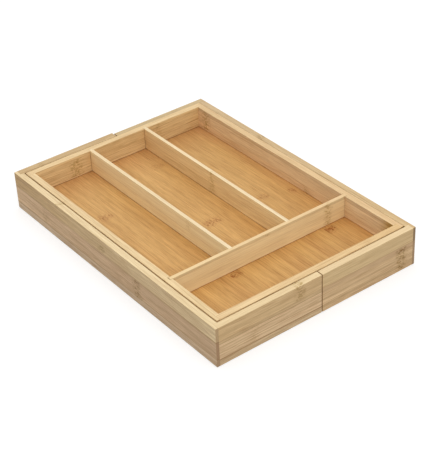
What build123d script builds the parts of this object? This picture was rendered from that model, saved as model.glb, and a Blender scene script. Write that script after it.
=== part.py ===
from build123d import *
from collections import namedtuple
import os

os.makedirs("parts", exist_ok=True)

# Extending cutlery tray of laminated bamboo, closed.
# An inner tray of four compartments stands on the base panels of two U-shaped sections. Each section slides
# out sideways from under the tray and opens one more compartment between its long wall and the tray's.
# X runs from left to right, Y from front to back, Z up. The origin is on the ground, in the middle of the
# closed tray. All sizes are in millimetres.

# Overall sizes, and how far each section slides out
closed_width = 250.0
closed_length = 356.5
section_height = 44.5
reach = 75.0

# Sections: two U-shaped frames whose ends meet at a seam in the front and in the back
section_wall = 7.5
left_back_wall = 8.5
back_step = 2.7
seam_offset = 2.5
seam_gap = 0.9
section_corner_lip = 3.4
section_base_thickness = 5.0
section_base_recess = 3.0

# Tray: four walls on the sections' base panels, its rim a little above theirs
tray_wall = 7.5
tray_rim_step = 0.8
tray_corner_lip = 3.4
tray_base_thickness = 5.0
tray_base_recess = 6.3

# Dividers: one across the tray, two from it to the back wall
divider_thickness = 4.2
front_compartment_depth = 71.2
left_compartment_width = 70.4
middle_compartment_width = 68.3

# Running gaps between the closed tray and the sections
left_gap = 0.8
right_gap = 0.9
front_gap = 0.8
back_gap = 0.3

# Joinery
groove_depth = 3.5
panel_edge_gap = 0.4
housing_depth = 3.0
housing_play = 0.4
cross_divider_end_gap = 0.6
cross_divider_housing_depth = 1.2
wall_arris = 0.5
divider_arris = 0.4
overrun = 1.0

# Stop strips: glued on the sections' base panels, in the hollow under the tray's base
stop_width = 12.0
stop_head_gap = 0.8
stop_end_gap = 1.5
stop_landing_gap = 0.3

# Places that follow from these sizes
front_face = -closed_length / 2
tray_bottom = section_base_recess + section_base_thickness
tray_top = section_height + tray_rim_step
tray_base_underside = tray_bottom + tray_base_recess
tray_floor = tray_base_underside + tray_base_thickness
tray_left = -closed_width / 2 + section_wall + left_gap
tray_right = closed_width / 2 - section_wall - right_gap
tray_front = front_face + section_wall + front_gap
tray_back = closed_length / 2 - back_step - section_wall - back_gap
inside_left = tray_left + tray_wall
inside_right = tray_right - tray_wall
inside_front = tray_front + tray_wall
inside_back = tray_back - tray_wall
cross_divider_front = inside_front + front_compartment_depth
cross_divider_back = cross_divider_front + divider_thickness
panel_inset = groove_depth - panel_edge_gap

# Left faces of the two long dividers, one on each side of the middle compartment
left_divider_place = inside_left + left_compartment_width
right_divider_place = left_divider_place + divider_thickness + middle_compartment_width
long_divider_places = (left_divider_place, right_divider_place)

# The two kinds of frame: wall thickness, lip left outside a corner rabbet, lower and upper edge, base panel
Frame = namedtuple("Frame", "wall lip bottom top base base_thickness")
section = Frame(
    wall=section_wall, lip=section_corner_lip, bottom=0, top=section_height,
    base=section_base_recess, base_thickness=section_base_thickness,
)
tray = Frame(
    wall=tray_wall, lip=tray_corner_lip, bottom=tray_bottom, top=tray_top,
    base=tray_base_underside, base_thickness=tray_base_thickness,
)

# The two sides: out is the way a section slides, face its long wall's outer face, seam its short walls' free
# ends, and tray_face and tray_inside the outer and inner face of the tray's long wall beside it
Side = namedtuple("Side", "name out face back_face back_wall seam tray_face tray_inside")
left = Side(
    name="left", out=-1, face=-closed_width / 2, back_face=closed_length / 2, back_wall=left_back_wall,
    seam=seam_offset - seam_gap / 2, tray_face=tray_left, tray_inside=inside_left,
)
right = Side(
    name="right", out=1, face=closed_width / 2, back_face=closed_length / 2 - back_step,
    back_wall=section_wall, seam=seam_offset + seam_gap / 2, tray_face=tray_right, tray_inside=inside_right,
)


def area(across, along):
    """Draws a rectangle between two limits across and two limits along, each pair in any order."""
    with Locations((sum(across) / 2, sum(along) / 2)):
        Rectangle(abs(across[1] - across[0]), abs(along[1] - along[0]))


def finish(piece, name):
    """Labels a finished piece and writes it."""
    piece.part.label = name
    export_step(piece.part, f"parts/{name}.step")


def long_wall(frame, face, out, front, back, back_wall):
    """A long wall: arrises eased, a rabbet at each end for a short wall, and a groove for the base."""
    inner = face - out * frame.wall
    rabbet = (face - out * frame.lip, inner - out * overrun)
    with BuildPart() as board:
        with BuildSketch(Plane.XY.offset(frame.bottom)):
            area((face, inner), (front, back))
        extrude(amount=frame.top - frame.bottom)
        fillet(board.edges(), radius=wall_arris)
        with BuildSketch(Plane.XY.offset(frame.bottom)):
            area(rabbet, (front - overrun, front + frame.wall))
            area(rabbet, (back - back_wall, back + overrun))
        extrude(amount=frame.top - frame.bottom, mode=Mode.SUBTRACT)
        with BuildSketch(Plane.XY.offset(frame.base)):
            area((inner + out * groove_depth, inner - out * overrun), (front - overrun, back + overrun))
        extrude(amount=frame.base_thickness, mode=Mode.SUBTRACT)
    return board


def short_wall(frame, outer, inner, ends, shoulders):
    """A short wall: a board between two shoulders with eased arrises, a tongue past a shoulder where a long
    wall's rabbet takes it, and a groove for the base. An end at its shoulder has no tongue and is free."""
    inward = 1 if inner > outer else -1
    with BuildPart() as board:
        with BuildSketch(Plane.XY.offset(frame.bottom)):
            area(shoulders, (outer, inner))
        extrude(amount=frame.top - frame.bottom)
        arrises = board.edges().filter_by(Axis.X)
        end_faces = board.faces().filter_by(Axis.X).sort_by(Axis.X)
        for end, shoulder, end_face in zip(ends, shoulders, end_faces):
            if end == shoulder:
                arrises += end_face.edges()
        fillet(arrises, radius=wall_arris)
        for end, shoulder in zip(ends, shoulders):
            if end != shoulder:
                with BuildSketch(Plane.YZ.offset(min(end, shoulder))) as tongue:
                    area((outer, inner), (frame.bottom, frame.top))
                    outer_corners = tongue.vertices().sort_by(Axis.X, reverse=inward < 0)[:2]
                    fillet(outer_corners, radius=wall_arris)
                extrude(amount=abs(end - shoulder))
        with BuildSketch(Plane.XY.offset(frame.base)):
            area(
                (ends[0] - overrun, ends[1] + overrun),
                (inner - inward * groove_depth, inner + inward * overrun),
            )
        extrude(amount=frame.base_thickness, mode=Mode.SUBTRACT)
    return board


# Sections
for side in (left, right):
    inner_face = side.face - side.out * section_wall
    inner_front = front_face + section_wall
    inner_back = side.back_face - side.back_wall
    ends = sorted((side.face - side.out * section_corner_lip, side.seam))
    shoulders = sorted((inner_face, side.seam))

    # Long outer wall
    section_side = long_wall(section, side.face, side.out, front_face, side.back_face, side.back_wall)
    finish(section_side, f"{side.name}_section_side")

    # Front and back returns, in the long wall's rabbets, free at the seam
    section_front = short_wall(section, front_face, inner_front, ends, shoulders)
    finish(section_front, f"{side.name}_section_front")
    section_back = short_wall(section, side.back_face, inner_back, ends, shoulders)
    finish(section_back, f"{side.name}_section_back")

    # Base panel, in the three walls' grooves and clear of the groove bottoms, free at the seam
    with BuildPart() as section_base:
        with BuildSketch(Plane.XY.offset(section_base_recess)):
            area(
                (inner_face + side.out * panel_inset, side.seam),
                (inner_front - panel_inset, inner_back + panel_inset),
            )
        extrude(amount=section_base_thickness)
    finish(section_base, f"{side.name}_section_base")

    # Stop strip, where it meets the tray's long wall at full reach
    stop_face = side.tray_inside - side.out * (reach + stop_landing_gap)
    with BuildPart() as section_stop:
        with BuildSketch(Plane.XY.offset(tray_bottom)):
            area(
                (stop_face, stop_face - side.out * stop_width),
                (inside_front + stop_end_gap, inside_back - stop_end_gap),
            )
        extrude(amount=tray_base_recess - stop_head_gap)
        fillet(section_stop.faces().sort_by(Axis.Z)[-1].edges(), radius=wall_arris)
    finish(section_stop, f"{side.name}_section_stop")

# Tray long walls, each with a housing for an end of the cross divider, open at the rim
for side in (left, right):
    blank = long_wall(tray, side.tray_face, side.out, tray_front, tray_back, tray_wall)
    with BuildPart() as tray_long_wall:
        add(blank.part)
        with BuildSketch(Plane.XY.offset(tray_floor)):
            area(
                (side.tray_inside + side.out * housing_depth, side.tray_inside - side.out * overrun),
                (cross_divider_front - housing_play, cross_divider_back),
            )
        extrude(amount=tray_top - tray_floor, mode=Mode.SUBTRACT)
    finish(tray_long_wall, f"tray_{side.name}_wall")

# Tray short walls, in the long walls' rabbets
tray_ends = (tray_left + tray_corner_lip, tray_right - tray_corner_lip)
tray_shoulders = (inside_left, inside_right)
tray_front_wall = short_wall(tray, tray_front, inside_front, tray_ends, tray_shoulders)
finish(tray_front_wall, "tray_front_wall")

# The back one has two housings for the long dividers, open at the rim
blank = short_wall(tray, tray_back, inside_back, tray_ends, tray_shoulders)
with BuildPart() as tray_back_wall:
    add(blank.part)
    with BuildSketch(Plane.XY.offset(tray_floor)):
        for place in long_divider_places:
            area(
                (place - housing_play, place + divider_thickness),
                (inside_back - overrun, inside_back + housing_depth),
            )
    extrude(amount=tray_top - tray_floor, mode=Mode.SUBTRACT)
finish(tray_back_wall, "tray_back_wall")

# Tray base: the floor of the four compartments, in the walls' grooves and clear of the groove bottoms
with BuildPart() as tray_base:
    with BuildSketch(Plane.XY.offset(tray_base_underside)):
        area(
            (inside_left - panel_inset, inside_right + panel_inset),
            (inside_front - panel_inset, inside_back + panel_inset),
        )
    extrude(amount=tray_base_thickness)
finish(tray_base, "tray_base")

# Cross divider: stands on the base, its ends in the long walls' housings, a little short in the left one
with BuildPart() as cross_divider:
    with BuildSketch(Plane.XY.offset(tray_floor)):
        area(
            (inside_left - housing_depth + cross_divider_end_gap, inside_right + housing_depth),
            (cross_divider_front, cross_divider_back),
        )
    extrude(amount=tray_top - tray_floor)
    fillet(cross_divider.edges().filter_by(Axis.X).group_by(Axis.Z)[-1], radius=divider_arris)
    with BuildSketch(Plane.XY.offset(tray_floor)):
        for place in long_divider_places:
            area(
                (place, place + divider_thickness),
                (cross_divider_back - cross_divider_housing_depth, cross_divider_back + overrun),
            )
    extrude(amount=tray_top - tray_floor, mode=Mode.SUBTRACT)
finish(cross_divider, "cross_divider")

# Long dividers: front ends in the cross divider, back ends in the back wall
for side, place in zip((left, right), long_divider_places):
    with BuildPart() as long_divider:
        with BuildSketch(Plane.XY.offset(tray_floor)):
            area(
                (place, place + divider_thickness),
                (cross_divider_back - cross_divider_housing_depth, inside_back + housing_depth),
            )
        extrude(amount=tray_top - tray_floor)
        fillet(long_divider.edges().filter_by(Axis.Y).group_by(Axis.Z)[-1], radius=divider_arris)
    finish(long_divider, f"{side.name}_long_divider")
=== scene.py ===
from math import cos, radians, sin

import bpy
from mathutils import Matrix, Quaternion, Vector


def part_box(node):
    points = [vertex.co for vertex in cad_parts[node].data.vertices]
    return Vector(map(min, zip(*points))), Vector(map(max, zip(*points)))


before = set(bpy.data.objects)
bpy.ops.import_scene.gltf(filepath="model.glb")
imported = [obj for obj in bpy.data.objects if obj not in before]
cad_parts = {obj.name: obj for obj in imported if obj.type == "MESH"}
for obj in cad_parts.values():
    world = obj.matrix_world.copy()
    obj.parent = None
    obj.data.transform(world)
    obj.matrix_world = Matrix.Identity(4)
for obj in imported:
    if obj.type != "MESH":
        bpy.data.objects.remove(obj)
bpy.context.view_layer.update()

# Tray walls: four boards 7.5 mm thick, each edge-glued from flat bamboo strips, planed, sanded and lacquered.
# The long ones have rabbets at their ends that take the short ones, and all four are grooved for the base.
# The faces are tan with long brown fibres, the rims paler because they show the strips' edges.

MM = 0.001
X, Y, Z = 0, 1, 2


def linear(hex_colour):
    """An sRGB hex colour as the linear colour that a socket takes."""
    shares = [int(hex_colour[place:place + 2], 16) / 255 for place in (1, 3, 5)]
    return [*(s / 12.92 if s <= 0.04045 else ((s + 0.055) / 1.055) ** 2.4 for s in shares), 1]


def add(tree, kind, sockets=None, **settings):
    """Adds a node with its settings, and sets or links its inputs by name or number: 1 to 4 are a Map Range's
    from and to, and 6 and 7 the two colours of a Mix. Returns the node."""
    made = tree.nodes.new(kind)
    for name, value in settings.items():
        setattr(made, name, value)
    for key, value in (sockets or {}).items():
        if isinstance(value, bpy.types.NodeSocket):
            tree.links.new(value, made.inputs[key])
        else:
            made.inputs[key].default_value = value
    return made


def strip_tones(tree, share, low, high, strips, end):
    """Each strip's tone at one end of the board, 0 for the low end and -1 for the high one. The alpha is a
    number of the strip's own, which picks the stretch of bamboo that it was cut from."""
    first_stretch, next_stretch = 0.11, 0.37
    ramp = add(tree, "ShaderNodeValToRGB", {0: share})
    ramp.color_ramp.interpolation = "CONSTANT"
    steps = ramp.color_ramp.elements
    start = low
    for number, (edge, *tones) in enumerate(strips):
        stretch = (number * next_stretch + first_stretch) % 1
        steps.new((start - low) / (high - low)).color = [*linear(tones[end])[:3], stretch]
        start = edge
    steps.remove(steps[0])
    steps.remove(steps[-1])
    return ramp.outputs


def glue_lines(tree, share, low, high, strips):
    """1 on the glue lines between the strips, and 0 from a little beside them."""
    breadth_share = 0.04
    black, white = (0, 0, 0, 1), (1, 1, 1, 1)
    ramp = add(tree, "ShaderNodeValToRGB", {0: share})
    peaks = ramp.color_ramp.elements
    for peak in peaks:
        peak.color = black
    edges = [edge for edge, *tones in strips]
    for edge, next_edge in zip(edges, edges[1:]):
        peaks.new((edge - low) / (high - low)).color = white
        if next_edge < high:
            peaks.new(((edge + next_edge) / 2 - low) / (high - low)).color = black
    return add(tree, "ShaderNodeMapRange", {0: ramp.outputs[0], 1: 1 - breadth_share, 2: 1}).outputs[0]


def bamboo_figure(tree, along, across, through):
    """Clouds, streaks, bundles of fibres and dark veins: four noises, each drawn out along the grain. The
    grain isn't quite straight, but bends to and fro by up to 1.5 mm. Places and sizes are in millimetres."""
    bend, bend_length, bend_breadth = 1.5, 120, 24
    slow = add(tree, "ShaderNodeCombineXYZ", {0: along, 1: across, 2: through})
    slow = add(tree, "ShaderNodeVectorMath", {
        0: slow.outputs[0], 1: (1 / bend_length, 1 / bend_breadth, 1 / bend_breadth),
    }, operation="MULTIPLY")
    bent = add(tree, "ShaderNodeTexNoise", {"Vector": slow.outputs[0], "Scale": 1, "Detail": 1})
    bent = add(tree, "ShaderNodeMath", {0: bent.outputs[0], 1: 2 * bend, 2: -bend}, operation="MULTIPLY_ADD")
    across = add(tree, "ShaderNodeMath", {0: across, 1: bent.outputs[0]}, operation="ADD")
    through = add(tree, "ShaderNodeMath", {0: through, 1: bent.outputs[0]}, operation="ADD")
    place = add(tree, "ShaderNodeCombineXYZ", {0: along, 1: across.outputs[0], 2: through.outputs[0]})

    clouds, streaks, fibres, veins = (90, 5, 1), (55, 1.3, 2), (14, 0.4, 2), (40, 0.7, 1)
    figures = []
    for length, breadth, detail in (clouds, streaks, fibres, veins):
        scaled = add(tree, "ShaderNodeVectorMath", {
            0: place.outputs[0], 1: (1 / length, 1 / breadth, 1 / breadth),
        }, operation="MULTIPLY").outputs[0]
        noise = add(tree, "ShaderNodeTexNoise", {"Vector": scaled, "Scale": 1, "Detail": detail})
        figures.append(noise.outputs[0])
    return figures


def node_flecks(tree, place, grain, across, culm_nodes):
    """How much of a culm node shows at a point. A node is a scatter of brown flecks across one strip,
    thickest along a middle line that isn't straight. The flecks are drawn three times as coarse as the real
    ones, which are half a millimetre across and would be too fine to show."""
    fleck_breadth, fleck_length = 1.5, 3.0
    fleck_size = [fleck_breadth] * 3
    fleck_size[grain] = fleck_length
    fleck_place = add(
        tree, "ShaderNodeVectorMath", {0: place, 1: [1 / size for size in fleck_size]}, operation="MULTIPLY"
    )
    flecks = add(tree, "ShaderNodeTexNoise", {
        "Vector": fleck_place.outputs[0], "Scale": 1, "Detail": 2, "Distortion": 0.8,
    })
    fleck_begins, fleck_complete = 0.45, 0.6
    between_flecks, in_fleck = 0.1, 1.15
    flecks = add(tree, "ShaderNodeMapRange", {
        0: flecks.outputs[0], 1: fleck_begins, 2: fleck_complete, 3: between_flecks, 4: in_fleck,
    })

    bow, bow_length = 5, 4.545
    bow_place = add(tree, "ShaderNodeVectorMath", {0: place, 3: 1 / bow_length}, operation="SCALE")
    bowed = add(tree, "ShaderNodeTexNoise", {"Vector": bow_place.outputs[0], "Scale": 1, "Detail": 1})
    bowed = add(tree, "ShaderNodeMath", {0: bowed.outputs[0], 1: 2 * bow, 2: -bow}, operation="MULTIPLY_ADD")
    parts = add(tree, "ShaderNodeSeparateXYZ", {0: place}).outputs
    along = add(tree, "ShaderNodeMath", {0: parts[grain], 1: bowed.outputs[0]}, operation="ADD").outputs[0]

    edge_fade = 1.5
    core_share, halo_share = 0.1, 1.3
    most = 0.0
    for at, lower, upper, half_length, strength in culm_nodes:
        gap = add(tree, "ShaderNodeMath", {0: along, 1: at}, operation="SUBTRACT").outputs[0]
        gap = add(tree, "ShaderNodeMath", {0: gap}, operation="ABSOLUTE").outputs[0]
        shown = add(tree, "ShaderNodeMapRange", {
            0: gap, 1: half_length * core_share, 2: half_length * halo_share, 3: strength, 4: 0,
        }, interpolation_type="SMOOTHSTEP")
        above = add(tree, "ShaderNodeMapRange", {0: parts[across], 1: lower, 2: lower + edge_fade})
        below = add(tree, "ShaderNodeMapRange", {0: parts[across], 1: upper, 2: upper - edge_fade})
        for limit in (flecks, above, below):
            shown = add(
                tree, "ShaderNodeMath", {0: shown.outputs[0], 1: limit.outputs[0]}, operation="MULTIPLY"
            )
        most = add(tree, "ShaderNodeMath", {0: most, 1: shown.outputs[0]}, operation="MAXIMUM").outputs[0]
    return most


def sanded_bamboo(
    piece, grain, across, strips, rim, end_tone="#E4DBD3", culm_nodes=(), node_tone="#B09B40", figured=(1, 1),
    darker_end=None,
):
    """Bamboo strips glued edge to edge, sanded and lacquered thinly. To the eye that is a satin surface with
    long brown fibres, thin glue lines, dotted end grain and here and there a culm node.

    Grain and across are the axes that the fibres and the strips' width run along. Strips are (the edge where
    the strip ends, its tone, its tone at the board's far end if that is another), and rim is the tones of the
    long edges at the two ends. Culm nodes are (place along, from and to across, half length, strength from 0
    to 1). Figured is how strong the figure is at the two edges. Darker end is (where along the face it begins
    to darken, where that is complete, the tone that it takes on there): the board grows darker toward that
    end, which on the tray's base is partly painted shade. Places are in millimetres."""
    material = bpy.data.materials.new(f"sanded_bamboo_{piece}")
    material.use_nodes = True
    tree = material.node_tree
    tree.nodes.clear()
    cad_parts[piece].data.materials.clear()
    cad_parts[piece].data.materials.append(material)

    # Where a point is on the board, and which way its surface faces
    through = X + Y + Z - grain - across
    low, high = ([part / MM for part in corner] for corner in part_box(piece))
    here = add(tree, "ShaderNodeTexCoord").outputs
    place = add(tree, "ShaderNodeVectorMath", {0: here["Object"], 3: 1 / MM}, operation="SCALE").outputs[0]
    parts = add(tree, "ShaderNodeSeparateXYZ", {0: place}).outputs
    facing = add(tree, "ShaderNodeSeparateXYZ", {0: here["Normal"]}).outputs
    share = add(tree, "ShaderNodeMapRange", {0: parts[across], 1: low[across], 2: high[across]}).outputs[0]
    reach = add(tree, "ShaderNodeMapRange", {0: parts[grain], 1: low[grain], 2: high[grain]}).outputs[0]
    off_from, off_to = 0.45, 0.85
    on_rim = add(tree, "ShaderNodeMath", {0: facing[across]}, operation="ABSOLUTE").outputs[0]
    on_rim = add(tree, "ShaderNodeMapRange", {0: on_rim, 1: off_from, 2: off_to}).outputs[0]
    on_end = add(tree, "ShaderNodeMath", {0: facing[grain]}, operation="ABSOLUTE").outputs[0]
    on_end = add(tree, "ShaderNodeMapRange", {0: on_end, 1: off_from, 2: off_to}).outputs[0]

    # The strips' own tones on the face, and a paler one on the rim
    near = strip_tones(tree, share, low[across], high[across], strips, 0)
    far = strip_tones(tree, share, low[across], high[across], strips, -1)
    face = add(tree, "ShaderNodeMix", {0: reach, 6: near[0], 7: far[0]}, data_type="RGBA").outputs[2]
    # Darker toward one end of the board. On the tray's base this is partly its own tone and partly painted
    # shade of the back wall
    if darker_end:
        begins, complete, brown = darker_end
        end_darkening = add(tree, "ShaderNodeMapRange", {
            0: parts[grain], 1: begins, 2: complete,
        }, interpolation_type="SMOOTHSTEP").outputs[0]
        face = add(tree, "ShaderNodeMix", {
            0: end_darkening, 6: face, 7: linear(brown),
        }, data_type="RGBA", blend_type="MULTIPLY").outputs[2]
    edge = add(tree, "ShaderNodeMix", {
        0: reach, 6: linear(rim[0]), 7: linear(rim[1]),
    }, data_type="RGBA").outputs[2]
    colour = add(tree, "ShaderNodeMix", {0: on_rim, 6: face, 7: edge}, data_type="RGBA").outputs[2]

    # The figure, from brown and dark to pale about the strip's tone, weaker on the rim than on the face
    culm_length = 900
    glue = glue_lines(tree, share, low[across], high[across], strips)
    along = add(tree, "ShaderNodeMath", {
        0: near["Alpha"], 1: culm_length, 2: parts[grain],
    }, operation="MULTIPLY_ADD").outputs[0]
    clouds, streaks, fibres, veins = bamboo_figure(tree, along, parts[across], parts[through])
    cloud_weight, streak_weight, fibre_weight = 0.8, 1, 1.4
    half_weight = (cloud_weight + streak_weight + fibre_weight) / 2
    figure = streaks
    for noise, weight in ((clouds, cloud_weight), (fibres, fibre_weight)):
        figure = add(
            tree, "ShaderNodeMath", {0: noise, 1: weight, 2: figure}, operation="MULTIPLY_ADD"
        ).outputs[0]
    figure = add(tree, "ShaderNodeMath", {0: figure, 1: half_weight}, operation="SUBTRACT").outputs[0]
    rim_figured = 0.65
    strength = add(tree, "ShaderNodeMapRange", {0: share, 3: figured[0], 4: figured[1]}).outputs[0]
    weaker = add(tree, "ShaderNodeMapRange", {0: on_rim, 3: 1, 4: rim_figured}).outputs[0]
    strength = add(tree, "ShaderNodeMath", {0: strength, 1: weaker}, operation="MULTIPLY").outputs[0]
    half_pale = 0.5
    paleness = add(tree, "ShaderNodeMath", {
        0: figure, 1: strength, 2: half_pale,
    }, operation="MULTIPLY_ADD", use_clamp=True).outputs[0]
    darkest = linear("#DDD3C4")
    palest = [2 - part for part in darkest[:3]] + [1]
    shade = add(tree, "ShaderNodeMix", {0: paleness, 6: darkest, 7: palest}, data_type="RGBA").outputs[2]
    colour = add(
        tree, "ShaderNodeMix", {0: 1, 6: colour, 7: shade}, data_type="RGBA", blend_type="MULTIPLY"
    ).outputs[2]

    # Veins, glue lines and culm nodes stain it brown
    vein_begins, vein_complete = 0.58, 0.7
    vein_stain, glue_stain = 0.5, 0.45
    vein = add(tree, "ShaderNodeMapRange", {
        0: veins, 1: vein_begins, 2: vein_complete, 3: 0, 4: vein_stain,
    }).outputs[0]
    vein = add(tree, "ShaderNodeMath", {0: vein, 1: strength}, operation="MULTIPLY").outputs[0]
    glued = add(tree, "ShaderNodeMath", {0: glue, 1: glue_stain}, operation="MULTIPLY").outputs[0]
    stains = [(vein, "#C39C6E"), (glued, "#B8966C")]
    if culm_nodes:
        stains.append((node_flecks(tree, place, grain, across, culm_nodes), node_tone))
    for stained, tone in stains:
        colour = add(tree, "ShaderNodeMix", {
            0: stained, 6: colour, 7: linear(tone),
        }, data_type="RGBA", blend_type="MULTIPLY").outputs[2]

    # End grain: the cut ends of the bundles of fibres, dark dots 0.6 mm apart
    dot_spacing, dot_stain = 0.625, 0.4
    core_share, edge_share = 0.2, 0.6
    dots = add(tree, "ShaderNodeVectorMath", {0: place, 3: 1 / dot_spacing}, operation="SCALE").outputs[0]
    dots = add(tree, "ShaderNodeTexVoronoi", {"Vector": dots, "Scale": 1}).outputs["Distance"]
    dots = add(tree, "ShaderNodeMapRange", {
        0: dots, 1: core_share, 2: edge_share, 3: dot_stain, 4: 0,
    }).outputs[0]
    end = face
    for stained, tone in ((1, end_tone), (dots, "#A98763")):
        end = add(tree, "ShaderNodeMix", {
            0: stained, 6: end, 7: linear(tone),
        }, data_type="RGBA", blend_type="MULTIPLY").outputs[2]
    colour = add(tree, "ShaderNodeMix", {0: on_end, 6: colour, 7: end}, data_type="RGBA").outputs[2]

    # The fibres stand up a little under the lacquer, the glue lines lie lower, and dense streaks are glossier
    fibre_relief, relief_height = 0.5, 0.1 * MM
    relief = add(
        tree, "ShaderNodeMath", {0: fibres, 1: fibre_relief, 2: streaks}, operation="MULTIPLY_ADD"
    ).outputs[0]
    relief = add(tree, "ShaderNodeMath", {0: relief, 1: glue}, operation="SUBTRACT").outputs[0]
    bump = add(tree, "ShaderNodeBump", {"Strength": 0.2, "Distance": relief_height, "Height": relief})
    loose_streak, dense_streak = 0.3, 0.7
    matt, satin = 0.56, 0.44
    gloss = add(tree, "ShaderNodeMapRange", {0: streaks, 1: loose_streak, 2: dense_streak, 3: matt, 4: satin})
    surface = add(tree, "ShaderNodeBsdfPrincipled", {
        "Base Color": colour, "Roughness": gloss.outputs[0], "Normal": bump.outputs[0], "IOR": 1.5,
        "Specular IOR Level": 0.4,
    })
    add(tree, "ShaderNodeOutputMaterial", {0: surface.outputs[0]})


# Strips lie one above the other in a board. A node in the top one goes over the rim or fades out under it.
# Some boards have a thin brown foot above the base: glue and painted shade where the board meets it. It
# starts a little lower, where the base hides its edge.
long_board, short_board = (Y, Z), (X, Z)
tray_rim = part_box("tray_left_wall")[1].z / MM
over_rim, under_rim = tray_rim + 0.7, tray_rim - 0.4
base_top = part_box("tray_base")[1].z / MM
foot_start, foot_line = base_top - 0.1, base_top + 0.7
under_base, foot_glue_and_shade = "#D9BA8C", "#A87B50"
sanded_bamboo(
    "tray_left_wall", *long_board, [(foot_start, under_base), (30, "#DCBD8D"), (tray_rim, "#DEC090")],
    rim=("#EDD09D", "#F0D2A0"),
    culm_nodes=[(92, 40, over_rim, 3, 0.3), (-88, 30, over_rim, 2, 0.35), (20, 8, 30, 6, 0.4)],
)
sanded_bamboo(
    "tray_right_wall", *long_board,
    [
        (foot_start, under_base), (foot_line, "#BD8A5B"), (28, "#EACDA3", "#E7C597"),
        (40.6, "#EBD1A8", "#E7C89C"), (tray_rim, "#DCC29B", "#DBBC91"),
    ],
    rim=("#E9C592", "#E9C794"), culm_nodes=[(146, 20, under_rim, 9, 0.6), (-30, 8, 28, 6, 0.4)],
    # The face darkens toward its front end, next to the front wall
    figured=(0.8, 0.8), darker_end=(-140, -160, "#D3C286"),
)
sanded_bamboo(
    "tray_front_wall", *short_board, [(foot_start, under_base), (29, "#DCBD8D"), (tray_rim, "#DEC090")],
    rim=("#ECCD9A", "#EAC58C"), culm_nodes=[(-60, 8, 29, 6, 0.5), (70, 29, over_rim, 4, 0.4)],
)
sanded_bamboo(
    "tray_back_wall", *short_board,
    [
        (foot_start, under_base), (foot_line, foot_glue_and_shade), (30, "#E8CA97", "#E6C791"),
        (tray_rim, "#E5C692", "#E3C38C"),
    ],
    rim=("#F0D09C", "#F0D09C"), culm_nodes=[(-58, 20.5, 42, 9, 0.6), (52, 30, over_rim, 4, 0.3)],
)

# Tray base: a 5 mm bamboo panel whose strips run from front to back, let into grooves in the four walls.
# It is the floor of the four compartments, warmer and more orange than the walls. Toward the back it is
# browner: partly its own redder tone, partly painted shade of the back wall.
panel = (Y, X)
honey, amber, caramel = "#DBAD6B", "#D7AA68", "#D2A365"
dark_honey, dark_amber, dark_caramel = "#D4A35F", "#D09F5C", "#CB9857"
panel_node = "#B98555"
base_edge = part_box("tray_base")[1].x / MM
sanded_bamboo(
    "tray_base", *panel,
    [
        (-88.5, dark_amber, amber), (-70.5, dark_honey, honey), (-59.5, dark_amber, honey),
        (-45.5, dark_caramel, amber), (-31, dark_amber, amber), (-17.5, dark_honey, honey),
        (-4, dark_amber, amber), (11.5, dark_honey, honey), (30, dark_caramel, amber),
        (47.5, dark_amber, amber), (55, dark_caramel, caramel), (63, dark_caramel, amber),
        (77.5, dark_amber, amber), (86.5, dark_caramel, amber), (98.5, dark_caramel, amber),
        (base_edge, dark_caramel, caramel),
    ],
    rim=(amber, amber),
    culm_nodes=[
        (73, -88, -70.5, 7, 0.55), (-8, -10, 11.5, 8, 0.6), (-6, 63, 77.5, 6, 0.45), (-15, 97, 106, 5, 0.65),
        (-96, -45, -31, 6, 1), (-98, 77.5, 90, 7, 1), (-70, -30, -17, 6, 0.4), (120, 12, 30, 6, 0.3),
    ],
    # The darker back end is partly the panel's own redder tone and partly painted shade of the back wall
    node_tone=panel_node, figured=(0.85, 0.85), darker_end=(98, 163, "#F1E9EE"),
)

# Dividers: thin strips on edge, one across the tray and two from it to the back wall, with rounded top edges.
# Their ends sit in shallow housings, and they are paler and plainer than the walls.
# Each divider's thin brown foot, like the walls', is glue and painted shade where it meets the base.
sanded_bamboo(
    "cross_divider", *short_board, [(foot_line, "#BB834D"), (42.4, "#F7E0B0"), (tray_rim, "#E7D1A3")],
    rim=("#F6D8A3", "#F2D09D"), culm_nodes=[(86, 19, over_rim, 6, 0.5), (6, 41, under_rim, 3, 0.8)],
    figured=(0.45, 0.45),
)
sanded_bamboo(
    "left_long_divider", *long_board,
    [(foot_line, foot_glue_and_shade), (31, "#FBE9BA", "#F9E0AF"), (tray_rim, "#FBEABD", "#F9E2B3")],
    rim=("#FAE3B9", "#F8DEB0"), culm_nodes=[(-20, 31, over_rim, 4, 0.25)], figured=(0.45, 0.45),
)
sanded_bamboo(
    "right_long_divider", *long_board,
    [(foot_line, foot_glue_and_shade), (31, "#EFD4A0", "#E9CA96"), (tray_rim, "#F1D6A2", "#EBCC98")],
    rim=("#FAE3B9", "#F8DEB0"), culm_nodes=[(36, 19, over_rim, 6, 0.4), (111, 43, under_rim, 4, 0.9)],
    figured=(0.8, 0.6),
)

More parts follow.
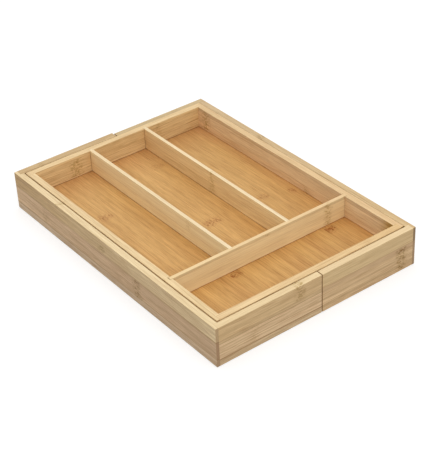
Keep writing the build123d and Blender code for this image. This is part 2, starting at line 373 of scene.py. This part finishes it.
# Sections: two U-shaped frames of the same boards, 44.5 mm high. The long boards lap over the short ones.
# Each board is three strips high. The strips differ in tone, and some glue lines show as thin brown strips.
section_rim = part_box("left_section_side")[1].z / MM
glue_brown = "#BC9866"
sanded_bamboo(
    "left_section_side", *long_board,
    [
        (8.2, "#D4B58F"), (9.2, glue_brown), (27.8, "#CFAC83", "#DBB689"), (28.8, glue_brown, "#D0AC7C"),
        (section_rim, "#E9CD9D", "#C6A067"),
    ],
    rim=("#F2D9AA", "#EFD4A5"), end_tone="#D9CFC8",
    culm_nodes=[
        (10, 29, 38, 7, 0.6), (-51, 6, 28.5, 8, 0.85), (92, 41, over_rim, 4, 0.45), (120, 9, 28.5, 6, 0.3),
    ],
)
sanded_bamboo(
    "left_section_front", *short_board,
    [
        (6.6, "#DBBC90"), (7.8, "#B68E60"), (14, "#E5C396"), (15, "#D7B485"), (20.5, "#E5C396"),
        (21.4, "#D7B485"), (24.4, "#E5C396"), (25.2, glue_brown), (28, "#D6B484"), (section_rim, "#DBB885"),
    ],
    rim=("#EFD4A4", "#EFD4A4"), culm_nodes=[(-24.5, 28, over_rim, 7, 0.6), (-80, 7.5, 27, 6, 0.2)],
    figured=(1.1, 0.7),
)
sanded_bamboo(
    "left_section_back", *short_board, [(9, "#D2B592"), (28.5, "#D2B592"), (section_rim, "#D6BA90")],
    rim=("#D0B07F", "#D0B07F"), culm_nodes=[(-50, 9, 28.5, 6, 0.5), (-95, 28.5, over_rim, 5, 0.4)],
)
sanded_bamboo(
    "right_section_side", *long_board, [(9, "#DDBE94"), (29, "#E0C096"), (section_rim, "#BFA57B")],
    rim=("#DBBB88", "#D5B78A"), end_tone="#CABFB5",
    culm_nodes=[(60, 29, over_rim, 6, 0.5), (-90, 9, 29, 6, 0.5)],
)
sanded_bamboo(
    "right_section_front", *short_board,
    [
        (5, "#DEBA8A"), (8, "#D0AC7C"), (14, "#E1BE8E"), (15.5, "#D3AF80"), (22, "#E1BE8E"),
        (28.6, "#D8B587", "#D0AB7E"), (section_rim, "#DFBF8B"),
    ],
    rim=("#EFD3A4", "#EFD3A4"), culm_nodes=[(106, 1.5, 28, 7, 0.85)], figured=(1.1, 0.5),
)
sanded_bamboo(
    "right_section_back", *short_board, [(9, "#D2B592"), (28.5, "#D2B592"), (section_rim, "#D6BA90")],
    rim=("#D1B687", "#D1B687"), culm_nodes=[(70, 9, 28.5, 6, 0.5)],
)

# Section bases and stop strips: bamboo panels like the tray's, in grooves in the sections' walls. On each is
# a plain strip, glued on under the tray, that guides the section and meets a wall of the tray at full reach.
panel_tones = (honey, amber, honey, caramel, amber, honey, amber)
for side in ("left", "right"):
    low, high = (corner.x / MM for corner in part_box(f"{side}_section_base"))
    edges = [low + (high - low) * number / len(panel_tones) for number in range(1, len(panel_tones) + 1)]
    sanded_bamboo(
        f"{side}_section_base", *panel, list(zip(edges, panel_tones)), rim=(amber, amber),
        culm_nodes=[(60, edges[1], edges[2], 6, 0.4), (-70, edges[4], edges[5], 6, 0.4)],
        node_tone=panel_node, figured=(0.85, 0.85),
    )
    stop_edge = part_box(f"{side}_section_stop")[1].x / MM
    sanded_bamboo(f"{side}_section_stop", *panel, [(stop_edge, "#DEC090")], rim=("#E6C998", "#E6C998"))

# Floor: plain matt white paper, white to the camera, with the tray's own soft shadow on it. Further off,
# where the lamps reach it less, its white is lifted a little more, so that it meets the white behind it.
# It lies 0.3 mm lower than the tray's underside, so that no two faces lie in one plane.


def seen_directly(tree):
    """1 for what the camera sees, by itself or in gloss or glass, and 0 for the light that comes off it."""
    rays = add(tree, "ShaderNodeLightPath").outputs
    seen = rays["Is Camera Ray"]
    for ray in ("Is Glossy Ray", "Is Transmission Ray"):
        seen = add(tree, "ShaderNodeMath", {0: seen, 1: rays[ray]}, operation="MAXIMUM").outputs[0]
    return seen


floor_reach, floor_drop = 4.0, 0.3 * MM
corners = [(x * floor_reach, y * floor_reach, 0) for x, y in ((-1, -1), (1, -1), (1, 1), (-1, 1))]
floor_mesh = bpy.data.meshes.new("floor")
floor_mesh.from_pydata(corners, [], [(0, 1, 2, 3)])
floor = bpy.data.objects.new("floor", floor_mesh)
floor.location.z = -floor_drop
bpy.context.scene.collection.objects.link(floor)
white_paper = bpy.data.materials.new("matt_white_paper")
white_paper.use_nodes = True
tree = white_paper.node_tree
tree.nodes.clear()
near_by, far_off = 0.5, 2.5
white_near_by, white_far_off = 0.61, 0.68
here = add(tree, "ShaderNodeTexCoord")
away = add(tree, "ShaderNodeVectorMath", {0: here.outputs["Object"]}, operation="LENGTH").outputs["Value"]
white = add(tree, "ShaderNodeMapRange", {0: away, 1: near_by, 2: far_off, 3: white_near_by, 4: white_far_off})
white = add(tree, "ShaderNodeMath", {0: seen_directly(tree), 1: white.outputs[0]}, operation="MULTIPLY")
paper = add(tree, "ShaderNodeBsdfDiffuse", {"Color": linear("#BCBCBC")})
lift = add(tree, "ShaderNodeEmission", {"Color": linear("#FFFFFF"), "Strength": white.outputs[0]})
both = add(tree, "ShaderNodeAddShader", {0: paper.outputs[0], 1: lift.outputs[0]})
add(tree, "ShaderNodeOutputMaterial", {0: both.outputs[0]})
floor_mesh.materials.append(white_paper)

# Light: a pale room all round, a large soft lamp overhead and a little behind, and a weaker one in front.
# Each lamp is (name, degrees round from the front, degrees up, metres away, metres wide, watts).
room_light = 0.65
world = bpy.data.worlds.new("white_room")
bpy.context.scene.world = world
world.use_nodes = True
tree = world.node_tree
tree.nodes.clear()
room = add(tree, "ShaderNodeBackground", {"Color": linear("#FFFFFF"), "Strength": room_light})
backdrop = add(tree, "ShaderNodeBackground", {"Color": linear("#FFFFFF"), "Strength": 1})
either = add(tree, "ShaderNodeMixShader", {
    0: seen_directly(tree), 1: room.outputs[0], 2: backdrop.outputs[0],
})
add(tree, "ShaderNodeOutputWorld", {0: either.outputs[0]})

for name, azimuth, elevation, distance, width, power in (
    ("overhead_softbox", 180, 78, 1.8, 1.4, 6.55), ("front_softbox", -10, 50, 1.5, 1.0, 4.5),
):
    lamp_data = bpy.data.lights.new(name, "AREA")
    lamp_data.size = width
    lamp_data.energy = power
    lamp = bpy.data.objects.new(name, lamp_data)
    turn, rise = radians(azimuth), radians(elevation)
    lamp.location = Vector((sin(turn) * cos(rise), -cos(turn) * cos(rise), sin(rise))) * distance
    lamp.rotation_mode = "QUATERNION"
    lamp.rotation_quaternion = (-lamp.location).to_track_quat("-Z", "Y")
    bpy.context.scene.collection.objects.link(lamp)

# Camera: where the photograph was taken from, 1.4 m away, 36 degrees round to the left and 34 degrees up,
# with a long lens. The focal length is in pixels of the photograph, and was fitted to the tray's edges.
azimuth, elevation, roll = radians(-35.763), radians(34.274), radians(-2.979)
distance = 1.4064
target = Vector((0.00701, -0.00238, 0))
focal_pixels = 1336.8
long_side_pixels = 465
camera_data = bpy.data.cameras.new("camera")
camera_data.sensor_width = 36
camera_data.lens = focal_pixels * camera_data.sensor_width / long_side_pixels
camera = bpy.data.objects.new("camera", camera_data)
backwards = Vector((sin(azimuth) * cos(elevation), -cos(azimuth) * cos(elevation), sin(elevation)))
camera.location = target + backwards * distance
camera.rotation_mode = "QUATERNION"
camera.rotation_quaternion = (-backwards).to_track_quat("-Z", "Y") @ Quaternion((0, 0, 1), roll)
bpy.context.scene.collection.objects.link(camera)
bpy.context.scene.camera = camera
bpy.context.scene.view_settings.view_transform = "Standard"
